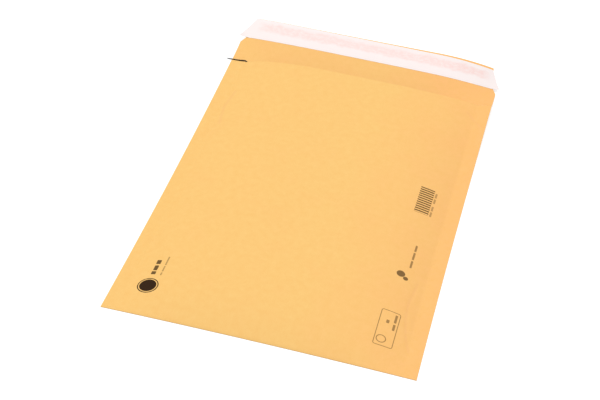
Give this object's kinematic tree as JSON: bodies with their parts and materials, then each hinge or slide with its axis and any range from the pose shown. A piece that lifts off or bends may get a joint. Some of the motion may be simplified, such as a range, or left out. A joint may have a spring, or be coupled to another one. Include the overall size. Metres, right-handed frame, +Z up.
{
  "type": "padded paper mailer",
  "caption": "Kraft paper mailing pouch lined with bubble film, lying on its back with its self-seal flap open.",
  "frame": {"origin": "centre of the back panel's outer face, in the plane that the mailer lies on", "axes": "+X across the mailer, +Y from the foot fold towards the mouth and flap, +Z up out of the front panel"},
  "size_m": [0.2469, 0.4122, 0.0131],
  "materials": {
    "kraft_paper": "matt, slightly glazed golden kraft with fine fibres",
    "bubble_film": "clear polyethylene film, softly glossy",
    "adhesive": "tacky hot-melt, amber pink",
    "liner_paper": "siliconed glassine, white and softly glossy",
    "thread": "matt black twisted yarn"
  },
  "bodies": {
    "root": {"kraft_envelope": "kraft_paper", "bubble_lining": "bubble_film", "adhesive_strip": "adhesive", "release_liner": "liner_paper", "tear_thread": "thread"}
  },
  "joints": []
}
